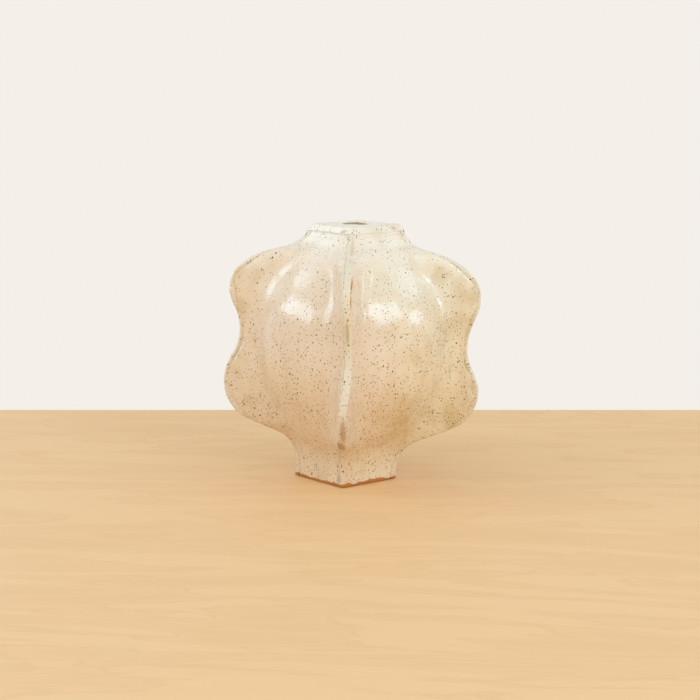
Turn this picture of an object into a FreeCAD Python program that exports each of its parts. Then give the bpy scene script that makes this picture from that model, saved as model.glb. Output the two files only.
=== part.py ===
import FreeCAD, Part
import math
import os
from functools import lru_cache

# Slab-built pillow vase: four swelling walls whose edges are pinched together into wavy fins.
# The walls stand round a foot slab, and a top slab with a small mouth closes them.
# Millimetres. +Z is up, and the origin is the middle of the foot, on the surface that it stands on.
# The four seams are in front (-Y), at the right (+X), at the back (+Y) and at the left (-X).
# At each seam one wall laps over the bevelled edge of the next, so that its own cut edge shows.

# Clay
WALL = 6.5                      # thickness of the rolled wall slabs
FOOT_SLAB = 7.0                 # thickness of the slab that closes the foot
TOP_SLAB = 6.5                  # thickness of the slab that closes the neck
SLIP = 0.2                      # line of slip between pieces that are joined
EDGE_ROUND = 1.5                # wiped edge of the rim and of the mouth

# Rises, one on top of the other
FOOT_RISE = 20.0                # upright part of the foot
UNDERSIDE_RISE = 61.0           # from there to the widest place of the lower lobe of a fin
LOWER_WAVE_RISE = 46.0          # from there to the waist, the notch between the two lobes
UPPER_WAVE_RISE = 41.5          # from there to the widest place of the upper lobe
SHOULDER_RISE = 42.5            # from there to the bend where the shoulder turns up into the neck
NECK_RISE = 19.0                # from there to the flat of the rim
BELLY_DROP = 10.0               # fullest place of a wall, below the waist of the fins

# Heights above the floor
LOWER_LOBE_HEIGHT = FOOT_RISE + UNDERSIDE_RISE
WAIST_HEIGHT = LOWER_LOBE_HEIGHT + LOWER_WAVE_RISE
BELLY_HEIGHT = WAIST_HEIGHT - BELLY_DROP
UPPER_LOBE_HEIGHT = WAIST_HEIGHT + UPPER_WAVE_RISE
NECK_HEIGHT = UPPER_LOBE_HEIGHT + SHOULDER_RISE
HEIGHT = NECK_HEIGHT + NECK_RISE

# Reaches from the axis, along a seam
FOOT_REACH = 46.5
FOOT_FLARE = 1.5                # the foot spreads this much up to its top
LOWER_LOBE_REACH = 115.3
WAIST_REACH = 102.6
UPPER_LOBE_REACH = 112.8
NECK_REACH = 53.0
RIM_REACH = 38.5
FOOT_TOP_REACH = FOOT_REACH + FOOT_FLARE

# The swelling body between the fins
BELLY_REACH = 80.5              # from the axis to the middle of a wall, at its fullest place
BODY_SQUARE_SHARE = 0.12        # plan of the body: 0 is round, 1 is square like the foot
FOOT_ROUND_BLEND = 55.0         # height over which the square foot turns into the round body
NECK_ROUND_BLEND = 32.0         # height over which the round body turns into the square neck
FIN_BEND = 10.0                 # softness of the bend where the body turns out into a fin
FIN_FLARE = 7.2                 # how far each side of a fin spreads, from its cut edge to its root

# Hand-built unevenness, in the order front, right, back, left
FIN_LIFTS = (0.0, -6.0, 1.5, 6.0)       # fin set higher or lower
FIN_SWAYS = (3.5, 0.0, -1.5, 0.0)       # fin set off sideways, half way up
FIN_SPREADS = (0.0, 1.6, 0.0, -1.2)     # fin set wider or narrower
FOOT_SWAYS = (0.0, -7.0, 0.0, 0.0)      # corner of the foot set off sideways
LEAN = 10.0                             # the rim stands this far off towards +X

# Mouth
MOUTH_RADIUS = 11.0

# Coils of clay pressed into the joints inside
COIL_WIDTH = 10.0               # face of a seam coil, from wall to wall
FOOT_COIL_LEG = 6.0             # foot coil, along the foot slab and up the walls
FOOT_COIL_TIP = 0.8             # its thickness at its upper edge

# Shape points between two named places: share of the height between them, share of the reach
UNDERSIDE_SHARES = ((0.17, 0.09), (0.30, 0.27), (0.40, 0.51), (0.50, 0.71), (0.62, 0.855), (0.80, 0.96))
LOWER_WAVE_SHARES = ((0.43, 0.36), (0.68, 0.80))
UPPER_WAVE_SHARES = ((0.45, 0.36), (0.70, 0.76))
SHOULDER_SHARES = ((0.19, 0.02), (0.46, 0.135), (0.62, 0.28), (0.74, 0.425), (0.82, 0.56), (0.91, 0.80))
NECK_SHARES = ((0.29, 0.41), (0.66, 0.75))
BELLY_RISE_SHARES = ((0.08, 0.045), (0.19, 0.165), (0.29, 0.345), (0.41, 0.543), (0.63, 0.80), (0.80, 0.935))
BELLY_FALL_SHARES = ((0.25, 0.06), (0.36, 0.12), (0.53, 0.27), (0.66, 0.46), (0.745, 0.63), (0.86, 0.82))

SQUARE_MIDDLE_SHARE = math.sqrt(0.5)    # middle of the side of a square, against its corner

# Sampling of the smooth forms
DEGREE = 3
LEVELS = 38
LEVEL_SEARCH_STEPS = 400
WALL_POINT_COUNT = 17
RING_POINT_COUNT = 5
COIL_POINT_COUNT = 4
TRACE_STEPS = 36
TRACE_OVERRUN_SHARE = 0.25      # how far a face is traced past its end to find where it crosses
POLISH_STEPS = 4
NUDGE_SHARE = 0.001             # step for slopes
TIP_PACE_SHARE = 0.12           # pace along a wall at a fin's tip, against its pace at the middle
PACE_POWER = 2.2
PLAIN_TIP_SHARE = 0.3           # a wall's end, where its thickness is measured in plan

# The seams, the walls that follow them, and the wall whose cut edge shows at each seam
SEAMS = ("front", "right", "back", "left")
SEAM_DEGREES = (-90.0, 0.0, 90.0, 180.0)
WALLS = ("front_right_wall", "back_right_wall", "back_left_wall", "front_left_wall")
LAPPING = ("front_right_wall", "back_right_wall", "back_left_wall", "back_left_wall")


def natural_spline(points):
    """Returns a function that runs smoothly through (place, value) points."""
    xs = [p[0] for p in points]
    ys = [p[1] for p in points]
    n = len(points)
    spans = [xs[i + 1] - xs[i] for i in range(n - 1)]
    slopes = [(ys[i + 1] - ys[i]) / spans[i] for i in range(n - 1)]
    upper, right = [0.0] * n, [0.0] * n
    for i in range(1, n - 1):
        pivot = 2.0 * (spans[i - 1] + spans[i]) - spans[i - 1] * upper[i - 1]
        upper[i] = spans[i] / pivot
        right[i] = (6.0 * (slopes[i] - slopes[i - 1]) - spans[i - 1] * right[i - 1]) / pivot
    bends = [0.0] * n
    for i in range(n - 2, 0, -1):
        bends[i] = right[i] - upper[i] * bends[i + 1]

    def value(x):
        i = 0
        while i < n - 2 and x > xs[i + 1]:
            i += 1
        h = spans[i]
        a, b = (xs[i + 1] - x) / h, (x - xs[i]) / h
        curl = (a ** 3 - a) * bends[i] + (b ** 3 - b) * bends[i + 1]
        return a * ys[i] + b * ys[i + 1] + curl * h * h / 6.0

    return value


def between(low, high, shares):
    """Shape points between two named (height, reach) places."""
    return [(low[0] + a * (high[0] - low[0]), low[1] + b * (high[1] - low[1])) for a, b in shares]


def fin_outline():
    """Reach of a fin over the height, as a function."""
    foot = (FOOT_RISE, FOOT_TOP_REACH)
    lower = (LOWER_LOBE_HEIGHT, LOWER_LOBE_REACH)
    waist = (WAIST_HEIGHT, WAIST_REACH)
    upper = (UPPER_LOBE_HEIGHT, UPPER_LOBE_REACH)
    neck = (NECK_HEIGHT, NECK_REACH)
    rim = (HEIGHT, RIM_REACH)
    points = [(0.0, FOOT_REACH), foot]
    points += between(foot, lower, UNDERSIDE_SHARES) + [lower]
    points += between(lower, waist, LOWER_WAVE_SHARES) + [waist]
    points += between(waist, upper, UPPER_WAVE_SHARES) + [upper]
    points += between(upper, neck, SHOULDER_SHARES) + [neck]
    points += between(neck, rim, NECK_SHARES) + [rim]
    return natural_spline(points)


def belly_outline():
    """Reach of the middle of a wall over the height of the body, as a function."""
    foot = (FOOT_RISE, FOOT_TOP_REACH * SQUARE_MIDDLE_SHARE)
    belly = (BELLY_HEIGHT, BELLY_REACH)
    neck = (NECK_HEIGHT, NECK_REACH * SQUARE_MIDDLE_SHARE)
    points = [foot] + between(foot, belly, BELLY_RISE_SHARES) + [belly]
    points += between(belly, neck, BELLY_FALL_SHARES) + [neck]
    return natural_spline(points)


fin_reach = fin_outline()
belly_reach = belly_outline()


def body_lag(z):
    """How far the middle of a wall stays behind the middle of a square with the fins as its corners."""
    if FOOT_RISE < z < NECK_HEIGHT:
        return fin_reach(z) * SQUARE_MIDDLE_SHARE - belly_reach(z)
    return 0.0


def smooth(share):
    """0 to 1, without a corner at either end."""
    held = min(max(share, 0.0), 1.0)
    return held * held * (3.0 - 2.0 * held)


def swell(z):
    """0 at the floor and the rim, 1 half way up: where the hand-built unevenness shows most."""
    return math.sin(math.pi * min(max(z / HEIGHT, 0.0), 1.0))


def squareness(z):
    """1 where the plan of the body is square, 0 where it would be round."""
    over_foot = smooth((z - FOOT_RISE) / FOOT_ROUND_BLEND)
    under_neck = smooth((NECK_HEIGHT - z) / NECK_ROUND_BLEND)
    return 1.0 - (1.0 - BODY_SQUARE_SHARE) * over_foot * under_neck


def axis_x(z):
    """The axis leans towards +X."""
    return LEAN * z / HEIGHT


def lapping_wall(seam):
    """Number of the wall that laps over its neighbour at a seam."""
    return WALLS.index(LAPPING[seam])


def lifted(seam, z):
    """Height on the plain outline that a fin, set higher or lower, shows at a height."""
    return z - FIN_LIFTS[seam] * swell(z)


def seam_place(seam, z):
    """Middle of the cut edge at a seam: along the seam's own direction and sideways of it."""
    reach = fin_reach(lifted(seam, z)) + FIN_SPREADS[seam] * swell(z)
    sway = FIN_SWAYS[seam] * swell(z) + FOOT_SWAYS[seam] * (1.0 - z / HEIGHT) ** 2
    return reach, sway


@lru_cache(maxsize=None)
def seam_corner(seam, z):
    """Outer corner of the lapping wall at a seam, as (distance from the axis, angle) in plan."""
    reach, sway = seam_place(seam, z)
    sideways = sway + WALL / 2.0 * swell(z) * (1.0 if lapping_wall(seam) == seam else -1.0)
    return math.hypot(reach, sideways), math.radians(SEAM_DEGREES[seam]) + math.atan2(sideways, reach)


@lru_cache(maxsize=None)
def seam_ray(seam, z):
    """Direction of the middle of a fin, in plan."""
    reach, sway = seam_place(seam, z)
    return math.radians(SEAM_DEGREES[seam]) + math.atan2(sway, reach)


@lru_cache(maxsize=None)
def wall_end(wall, side, z):
    """Where the outer face of a wall ends: side 0 is its first seam, side 1 the next one."""
    seam = (wall + side) % len(SEAMS)
    lapping = lapping_wall(seam)
    if lapping == wall:
        distance, angle = seam_corner(seam, z)
    else:
        x, y = inset_point(lapping, z, -1.0 if lapping == seam else 1.0, WALL)
        distance, angle = math.hypot(x - axis_x(z), y), math.atan2(y, x - axis_x(z))
    first = seam_ray(wall, z)
    while angle < first - math.pi / 2.0:
        angle += 2.0 * math.pi
    while angle > first + math.pi:
        angle -= 2.0 * math.pi
    return distance, angle


def wall_chord(first, last):
    """Straight line between the ends of a wall, as (distance from the axis, direction that it faces)."""
    x, y = first[0] * math.cos(first[1]), first[0] * math.sin(first[1])
    run_x, run_y = last[0] * math.cos(last[1]) - x, last[0] * math.sin(last[1]) - y
    run = math.hypot(run_x, run_y)
    facing = math.atan2(-run_x, run_y)
    while facing < first[1]:
        facing += 2.0 * math.pi
    return (x * run_y - y * run_x) / run, facing


def fin_excess(distance, body_there, start, turn, body_here, chord_slope):
    """How far a fin stands out of the body, at a turn from the middle of the fin.

    The fin ends at a given distance and start. Its side slants like the wall's chord where the body
    reaches as far as the fin, and less and less where the fin stands out further.
    """
    spare = max(distance - body_there, 0.0)
    length = math.hypot(spare, FIN_FLARE)
    slant = chord_slope * FIN_FLARE / length
    soft = FIN_BEND * (spare / length) ** 2
    tip = distance - (soft * soft / (4.0 * spare) if soft > 0.0 else 0.0)
    side = tip * (math.sin(start) + math.cos(start) * slant) / (math.sin(turn) + math.cos(turn) * slant)
    gap = side - body_here
    return (gap + math.hypot(gap, soft)) / 2.0


def outer_point(wall, z, t):
    """Point on the outer face of a wall at a height, from t = -1 at its first seam to 1 at the next."""
    first, last = wall_end(wall, 0, z), wall_end(wall, 1, z)
    rays = [seam_ray(wall, z), seam_ray((wall + 1) % len(SEAMS), z)]
    if rays[1] < rays[0]:
        rays[1] += 2.0 * math.pi
    left = 1.0 - abs(t)
    eased = TIP_PACE_SHARE * left + (1.0 - TIP_PACE_SHARE) * left * abs(left) ** (PACE_POWER - 1.0)
    middle = (first[1] + last[1]) / 2.0
    corner = last[1] if t > 0.0 else first[1]
    angle = corner + (middle - corner) * eased

    flat, facing = wall_chord(first, last)
    heights = lifted(wall, z), lifted((wall + 1) % len(SEAMS), z)
    square = (squareness(heights[0]) + squareness(heights[1])) / 2.0
    reach = flat - (body_lag(heights[0]) + body_lag(heights[1])) / 2.0

    def body(a):
        return reach / (1.0 - square + square * math.cos(a - facing))

    here = body(angle)
    near = fin_excess(first[0], body(first[1]), first[1] - rays[0], angle - rays[0], here,
                      math.tan(math.pi / 2.0 - facing + rays[0]))
    far = fin_excess(last[0], body(last[1]), rays[1] - last[1], rays[1] - angle, here,
                     math.tan(math.pi / 2.0 + facing - rays[1]))
    share = smooth((angle - first[1]) / (last[1] - first[1]))
    distance = here + near + (far - near) * share
    return axis_x(z) + distance * math.cos(angle), distance * math.sin(angle)


@lru_cache(maxsize=None)
def inset_point(wall, z, t, inset):
    """Point inset into a wall from its outer face, at the same height.

    The inset is square to the face, but at the wall's cut edges it is square to it in plan alone.
    """
    dz = HEIGHT * NUDGE_SHARE
    here = outer_point(wall, z, t)
    back, on = outer_point(wall, z, t - NUDGE_SHARE), outer_point(wall, z, t + NUDGE_SHARE)
    low, high = outer_point(wall, z - dz, t), outer_point(wall, z + dz, t)
    run_x, run_y = on[0] - back[0], on[1] - back[1]
    run = math.hypot(run_x, run_y)
    out_x, out_y = run_y / run, -run_x / run
    rise = ((high[0] - low[0]) * out_x + (high[1] - low[1]) * out_y) / (2.0 * dz)
    sloped = math.hypot(1.0, rise) - 1.0
    sideways = inset * (1.0 + sloped * smooth((1.0 - abs(t)) / PLAIN_TIP_SHARE))
    return here[0] - out_x * sideways, here[1] - out_y * sideways


def face_at(wall, z, inset):
    """The face of a wall at a height and an inset, as a function of t."""
    if inset == 0.0:
        return lambda t: outer_point(wall, z, t)
    return lambda t: inset_point(wall, z, t, inset)


def meeting(first, second, first_side, second_side):
    """Shares t along two faces where they cross, near the given ends of each."""
    traces = []
    for face, side in ((first, first_side), (second, second_side)):
        end = side * (1.0 + TRACE_OVERRUN_SHARE)
        ts = [end * (1.0 - i / TRACE_STEPS) for i in range(TRACE_STEPS + 1)]
        traces.append([(t, face(t)) for t in ts])
    for (ta, a), (tb, b) in zip(traces[0], traces[0][1:]):
        for (tc, c), (td, d) in zip(traces[1], traces[1][1:]):
            u, v = line_shares(a, b, c, d)
            if 0.0 <= u <= 1.0 and 0.0 <= v <= 1.0:
                return polished(first, second, ta + u * (tb - ta), tc + v * (td - tc))
    raise ValueError("two wall faces do not cross")


def line_shares(a, b, c, d):
    """Shares along line ab and line cd where the two lines cross."""
    rx, ry, sx, sy = b[0] - a[0], b[1] - a[1], d[0] - c[0], d[1] - c[1]
    cross = rx * sy - ry * sx
    if cross == 0.0:
        return math.inf, math.inf
    gap_x, gap_y = c[0] - a[0], c[1] - a[1]
    return (gap_x * sy - gap_y * sx) / cross, (gap_x * ry - gap_y * rx) / cross


def polished(first, second, t, s):
    """Improves the shares at which two faces cross, with their tangents."""
    for _ in range(POLISH_STEPS):
        u, v = line_shares(first(t), first(t + NUDGE_SHARE), second(s), second(s + NUDGE_SHARE))
        t, s = t + u * NUDGE_SHARE, s + v * NUDGE_SHARE
    return t, s


def along(face, start, end, count, z):
    """Points along a face between two shares, at a height."""
    ts = [start + (end - start) * i / (count - 1) for i in range(count)]
    return [FreeCAD.Vector(*face(t), z) for t in ts]


def knots(count):
    """Degree, even knots and how often each counts, for a smooth curve between its end poles."""
    degree = min(DEGREE, count - 1)
    places = [float(i) for i in range(count - degree + 1)]
    return degree, places, [degree + 1] + [1] * (len(places) - 2) + [degree + 1]


def drawn_edge(points):
    """Smooth edge drawn along points."""
    degree, places, counts = knots(len(points))
    curve = Part.BSplineCurve()
    curve.buildFromPolesMultsKnots(points, counts, places, False, degree)
    return curve.toShape()


def drawn_face(rows):
    """Smooth face drawn along rows of points."""
    up_degree, up_places, up_counts = knots(len(rows))
    degree, places, counts = knots(len(rows[0]))
    surface = Part.BSplineSurface()
    surface.buildFromPolesMultsKnots(
        rows, up_counts, counts, up_places, places, False, False, up_degree, degree)
    return surface.toShape()


def drawn_solid(sections):
    """Solid through level sections, each a closed ring of sides, each side a list of points."""
    faces = [drawn_face([section[k] for section in sections]) for k in range(len(sections[0]))]
    for section in (sections[0], sections[-1]):
        faces.append(Part.Face(Part.Wire([drawn_edge(side) for side in section])))
    shell = Part.makeShell(faces)
    shell.sewShape()
    solid = Part.Solid(Part.Shell(shell.Faces))
    if solid.Volume < 0.0:
        solid.reverse()
    return solid


def end_shares(wall, z, side):
    """Shares where a wall's outer and inner faces end at one side.

    A lapping wall ends at its own cut edge, and a lapped one at a bevel along the lapping wall.
    """
    seam = (wall + side) % len(SEAMS)
    own = 1.0 if side else -1.0
    lapping = lapping_wall(seam)
    if lapping == wall:
        return own, own
    cover = face_at(lapping, z, WALL + SLIP)
    outside = meeting(face_at(wall, z, 0.0), cover, own, -own)
    inside = meeting(face_at(wall, z, WALL), cover, own, -own)
    return outside[0], inside[0]


def wall_section(wall, z):
    """Section of a wall slab: outer face, one end, inner face, other end."""
    start_out, start_in = end_shares(wall, z, 0)
    last_out, last_in = end_shares(wall, z, 1)
    skin = along(face_at(wall, z, 0.0), start_out, last_out, WALL_POINT_COUNT, z)
    lining = along(face_at(wall, z, WALL), last_in, start_in, WALL_POINT_COUNT, z)
    return [skin, [skin[-1], lining[0]], lining, [lining[-1], skin[0]]]


def levels(low, high):
    """Heights between two heights, closer where a fin's outline runs out fast."""
    fine = [low + (high - low) * i / LEVEL_SEARCH_STEPS for i in range(LEVEL_SEARCH_STEPS + 1)]
    run = [0.0]
    for a, b in zip(fine, fine[1:]):
        run.append(run[-1] + math.hypot(b - a, fin_reach(b) - fin_reach(a)))
    chosen = [low]
    for i in range(1, LEVELS - 1):
        goal = run[-1] * i / (LEVELS - 1)
        k = next(j for j, r in enumerate(run) if r >= goal)
        chosen.append(fine[k - 1] + (fine[k] - fine[k - 1]) * (goal - run[k - 1]) / (run[k] - run[k - 1]))
    return chosen + [high]


def wall_slab(wall):
    """One wall, from the floor to under the top slab."""
    top = HEIGHT - TOP_SLAB - SLIP
    return drawn_solid([wall_section(wall, z) for z in levels(0.0, top)])


def ring_wire(z, inset):
    """Closed line round the inside of the walls, at an inset from their outer faces."""
    starts, ends = {}, {}
    for seam in range(len(SEAMS)):
        before = (seam - 1) % len(WALLS)
        faces = (face_at(before, z, inset), face_at(seam, z, inset))
        ends[before], starts[seam] = meeting(faces[0], faces[1], 1.0, -1.0)
    sides = [along(face_at(w, z, inset), starts[w], ends[w], RING_POINT_COUNT, z) for w in range(len(WALLS))]
    for before, side in zip(sides[-1:] + sides[:-1], sides):
        side[0] = before[-1]
    return Part.Wire([drawn_edge(side) for side in sides])


def foot_slab():
    """The slab inside the walls that closes the foot, flush with their lower edges."""
    fit = WALL + SLIP
    return Part.makeLoft([ring_wire(0.0, fit), ring_wire(FOOT_SLAB, fit)], True, False)


def foot_coil():
    """Coil pressed into the corner between the foot slab and the walls, wiped to a slope."""
    fit = WALL + SLIP
    low, high = FOOT_SLAB + SLIP, FOOT_SLAB + SLIP + FOOT_COIL_LEG
    blank = Part.makeLoft([ring_wire(low, fit), ring_wire(high, fit)], True, True)
    hollow = Part.makeLoft([ring_wire(low, fit + FOOT_COIL_LEG), ring_wire(high, fit + FOOT_COIL_TIP)], True, True)
    return blank.cut(hollow)


def top_slab():
    """The slab that closes the neck, with the mouth through it."""
    low, high = HEIGHT - TOP_SLAB, HEIGHT
    outlines = []
    for z in (low, high):
        corners = [seam_corner(seam, z) for seam in range(len(SEAMS))]
        places = [FreeCAD.Vector(axis_x(z) + d * math.cos(a), d * math.sin(a), z) for d, a in corners]
        outlines.append(Part.makePolygon(places + places[:1]))
    slab = Part.makeLoft(outlines, True, True)
    slab = slab.cut(Part.makeCylinder(MOUTH_RADIUS, TOP_SLAB, FreeCAD.Vector(axis_x(HEIGHT), 0.0, low)))
    wiped = [e for e in slab.Edges if e.BoundBox.ZMin > high - SLIP]
    return slab.makeFillet(EDGE_ROUND, wiped)


def coil_section(seam, z):
    """Section of a seam coil: the corner between two walls, filled up to the coil's face."""
    before, after = (seam - 1) % len(WALLS), seam
    fit = WALL + SLIP
    faces = (face_at(before, z, fit), face_at(after, z, fit))
    tips = meeting(faces[0], faces[1], 1.0, -1.0)
    ray = seam_ray(seam, z)
    corner = faces[0](tips[0])

    def width(point):
        return abs((point[1] - corner[1]) * math.cos(ray) - (point[0] - corner[0]) * math.sin(ray))

    stops = []
    for face, tip in zip(faces, tips):
        near, far = tip, 0.0
        for _ in range(TRACE_STEPS):
            middle = (near + far) / 2.0
            near, far = (middle, far) if width(face(middle)) < COIL_WIDTH / 2.0 else (near, middle)
        stops.append(near)
    up = along(faces[0], stops[0], tips[0], COIL_POINT_COUNT, z)
    down = up[-1:] + along(faces[1], tips[1], stops[1], COIL_POINT_COUNT, z)[1:]
    return [up, down, [down[-1], up[0]]]


def seam_coil(seam):
    """Coil pressed into a seam from inside, from the foot coil to the top of the walls."""
    low = FOOT_SLAB + SLIP + FOOT_COIL_LEG + SLIP
    high = HEIGHT - TOP_SLAB - SLIP
    return drawn_solid([coil_section(seam, z) for z in levels(low, high)])


def save(shape, name):
    """Writes one piece."""
    shape.exportStep("parts/" + name + ".step")


os.makedirs("parts", exist_ok=True)
for number, name in enumerate(WALLS):
    save(wall_slab(number), name)
save(foot_slab(), "foot_slab")
save(top_slab(), "top_slab")
save(foot_coil(), "foot_coil")
for number, name in enumerate(SEAMS):
    save(seam_coil(number), name + "_seam_coil")
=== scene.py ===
"""Looks of a slab-built pillow vase: glazed slabs, bare clay inside, table, lamps and camera.

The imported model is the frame. Each wall and the top slab gets a hand-finished body in its place:
the cut edges are wiped round, the faces undulate as hand-rolled clay does, and a glossy speckled
glaze runs over them. Lengths are metres, +Z is up, and the front seam points towards -Y.
"""

from __future__ import annotations

import logging
import math
from collections.abc import Mapping
from dataclasses import dataclass, field
from enum import Enum
from typing import Union

import bmesh
import bpy
import numpy as np
from mathutils import Matrix, Vector, noise
from mathutils.bvhtree import BVHTree
from mathutils.kdtree import KDTree

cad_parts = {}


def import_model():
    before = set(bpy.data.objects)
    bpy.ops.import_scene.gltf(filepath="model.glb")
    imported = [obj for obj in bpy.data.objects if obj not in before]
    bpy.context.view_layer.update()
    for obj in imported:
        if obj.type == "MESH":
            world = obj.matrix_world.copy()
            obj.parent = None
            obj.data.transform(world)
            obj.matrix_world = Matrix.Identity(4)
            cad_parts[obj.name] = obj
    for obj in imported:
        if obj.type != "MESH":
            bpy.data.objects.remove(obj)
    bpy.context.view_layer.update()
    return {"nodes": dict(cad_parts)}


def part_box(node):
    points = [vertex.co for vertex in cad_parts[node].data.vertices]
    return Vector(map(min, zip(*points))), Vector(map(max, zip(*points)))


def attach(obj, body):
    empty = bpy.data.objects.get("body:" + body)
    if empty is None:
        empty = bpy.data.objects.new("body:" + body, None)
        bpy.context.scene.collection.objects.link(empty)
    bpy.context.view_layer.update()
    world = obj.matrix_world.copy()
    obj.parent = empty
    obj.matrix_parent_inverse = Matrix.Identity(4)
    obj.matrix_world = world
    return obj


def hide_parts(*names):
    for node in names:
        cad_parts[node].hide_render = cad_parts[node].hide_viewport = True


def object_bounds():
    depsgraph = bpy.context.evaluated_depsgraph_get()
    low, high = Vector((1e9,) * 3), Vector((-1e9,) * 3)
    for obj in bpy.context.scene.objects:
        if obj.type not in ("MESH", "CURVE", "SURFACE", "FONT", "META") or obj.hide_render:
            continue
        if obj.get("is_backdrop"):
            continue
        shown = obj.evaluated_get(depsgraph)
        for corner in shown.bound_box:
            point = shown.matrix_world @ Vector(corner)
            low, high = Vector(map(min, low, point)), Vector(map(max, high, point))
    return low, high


LOG = logging.getLogger("pillow_vase")
MM = 0.001
BODY = "root"
NUMBER = "NodeSocketFloat"
DOUBLED = 0.002 * MM
Colour = tuple[float, float, float]
Socket = bpy.types.NodeSocket
Sockets = Mapping[str, Socket]
Feed = Union[Socket, float, Vector, Colour]


class Seam(Enum):
    """The four corner seams, each with its direction in plan."""

    FRONT = (0.0, -1.0)
    RIGHT = (1.0, 0.0)
    BACK = (0.0, 1.0)
    LEFT = (-1.0, 0.0)


class Light(Enum):
    """What a pane of light is for: a window's reflection in the glaze, or soft light."""

    REFLECTION = "reflection"
    SOFT = "soft"


class Slot(Enum):
    """Names of material slots."""

    WALL = "glazed_slab"
    RIM = "rim_slab"
    CLAY = "bare_clay"


def linear(red: int, green: int, blue: int) -> Colour:
    """Gives a display colour from 0 to 255 as linear light.

    Args:
        red: Red of the display colour.
        green: Green of the display colour.
        blue: Blue of the display colour.

    Returns:
        The colour in linear light.
    """
    shares = [value / 255.0 for value in (red, green, blue)]
    return tuple(s / 12.92 if s <= 0.04045 else ((s + 0.055) / 1.055) ** 2.4 for s in shares)


def eased(values: np.ndarray, low: float, high: float) -> np.ndarray:
    """Rises smoothly from 0 at low to 1 at high.

    Args:
        values: The values to ease.
        low: Where the result is 0.
        high: Where the result is 1.

    Returns:
        An array of shares from 0 to 1.
    """
    share = np.clip((values - low) / (high - low), 0.0, 1.0)
    return share * share * (3.0 - 2.0 * share)


@dataclass(frozen=True)
class VaseFrame:
    """Places on the vase that the looks follow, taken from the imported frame.

    Args:
        height: Height of the rim.
        lean: How far the rim stands off towards +X.
        rim_reach: Reach of the rim's corners from the axis.
        rim_foot: Height at which the rim slab sits on the walls.
        low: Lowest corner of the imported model.
        high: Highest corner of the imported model.
    """

    height: float
    lean: float
    rim_reach: float
    rim_foot: float
    low: Vector
    high: Vector

    @classmethod
    def measured(cls) -> VaseFrame:
        """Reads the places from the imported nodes.

        Returns:
            The places.
        """
        low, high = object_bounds()
        rim_low, rim_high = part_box("top_slab")
        return cls(high.z, (rim_low.x + rim_high.x) / 2.0, (rim_high.y - rim_low.y) / 2.0,
                   rim_low.z, low, high)


class Wiring:
    """Places and wires the nodes of one shader tree."""

    def __init__(self, tree: bpy.types.NodeTree) -> None:
        """Starts on the node tree of a material, world or group."""
        self.tree = tree

    def node(self, kind: str, inputs: dict | None = None, **settings: object) -> bpy.types.Node:
        """Adds a node.

        Args:
            kind: The node's type name.
            inputs: Values or sockets for its inputs, by name or number.
            **settings: Properties to set on the node.

        Returns:
            The new node.
        """
        made = self.tree.nodes.new(kind)
        for name, value in settings.items():
            setattr(made, name, value)
        for key, value in (inputs or {}).items():
            self.feed(made.inputs[key], value)
        return made

    def feed(self, socket: Socket, value: Feed) -> None:
        """Links another socket to an input, or sets the input's own value.

        Args:
            socket: The input socket.
            value: An output socket, a number or a tuple.
        """
        if isinstance(value, Socket):
            self.tree.links.new(value, socket)
        elif socket.type == "RGBA" and len(value) == 3:
            socket.default_value = (*value, 1.0)
        else:
            socket.default_value = value

    def calc(self, operation: str, *values: Feed, clamp: bool = False) -> Socket:
        """Adds a Math node and gives its result."""
        made = self.node("ShaderNodeMath", dict(enumerate(values)), operation=operation,
                         use_clamp=clamp)
        return made.outputs[0]

    def times(self, first: Feed, second: Feed) -> Socket:
        """Multiplies two values."""
        return self.calc("MULTIPLY", first, second)

    def scaled(self, value: Feed, factor: Feed, more: Feed) -> Socket:
        """Multiplies a value by a factor and adds more."""
        return self.calc("MULTIPLY_ADD", value, factor, more)

    def largest(self, masks: list[Socket]) -> Socket:
        """Gives the largest of some masks at each place.

        Args:
            masks: One mask or more.

        Returns:
            The mask that covers what any of them covers.
        """
        result = masks[0]
        for mask in masks[1:]:
            result = self.calc("MAXIMUM", result, mask)
        return result

    def vector(self, operation: str, inputs: dict, result: str = "Vector") -> Socket:
        """Adds a Vector Math node and gives its result."""
        return self.node("ShaderNodeVectorMath", inputs, operation=operation).outputs[result]

    def rise(self, value: Feed, low: Feed, high: Feed) -> Socket:
        """Rises smoothly from 0 at low to 1 at high."""
        fields = {"Value": value, "From Min": low, "From Max": high}
        return self.node("ShaderNodeMapRange", fields,
                         interpolation_type="SMOOTHSTEP").outputs["Result"]

    def blend(self, share: Feed, first: Feed, second: Feed) -> Socket:
        """Mixes two colours by a share of the second."""
        fields = {"Factor": share, 6: first, 7: second}
        return self.node("ShaderNodeMix", fields, data_type="RGBA", clamp_factor=True).outputs[2]

    def noise(self, where: Socket, size: float, detail: float = 2.0) -> Socket:
        """Adds soft noise of a size in metres and gives its level."""
        fields = {"Vector": where, "Scale": 1.0 / size, "Detail": detail}
        return self.node("ShaderNodeTexNoise", fields).outputs[0]

    def bump(self, height: Socket) -> Socket:
        """Turns a height in metres into a normal."""
        fields = {"Height": height, "Distance": 1.0, "Strength": 1.0}
        return self.node("ShaderNodeBump", fields).outputs["Normal"]

    def place(self) -> Socket:
        """Gives the place on the object, in the vase's own frame."""
        return self.node("ShaderNodeTexCoord").outputs["Object"]

    def group(self, tree: bpy.types.NodeTree, inputs: dict) -> Sockets:
        """Places a node group with its own values and gives its outputs."""
        return self.node("ShaderNodeGroup", inputs, node_tree=tree).outputs


def started(name: str) -> tuple[bpy.types.Material, Wiring, Sockets]:
    """Starts a material.

    Args:
        name: Name of the material.

    Returns:
        The material, the wiring of its tree, and the inputs of its surface shader.
    """
    material = bpy.data.materials.new(name)
    material.use_nodes = True
    wiring = Wiring(material.node_tree)
    return material, wiring, wiring.tree.nodes["Principled BSDF"].inputs


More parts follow.
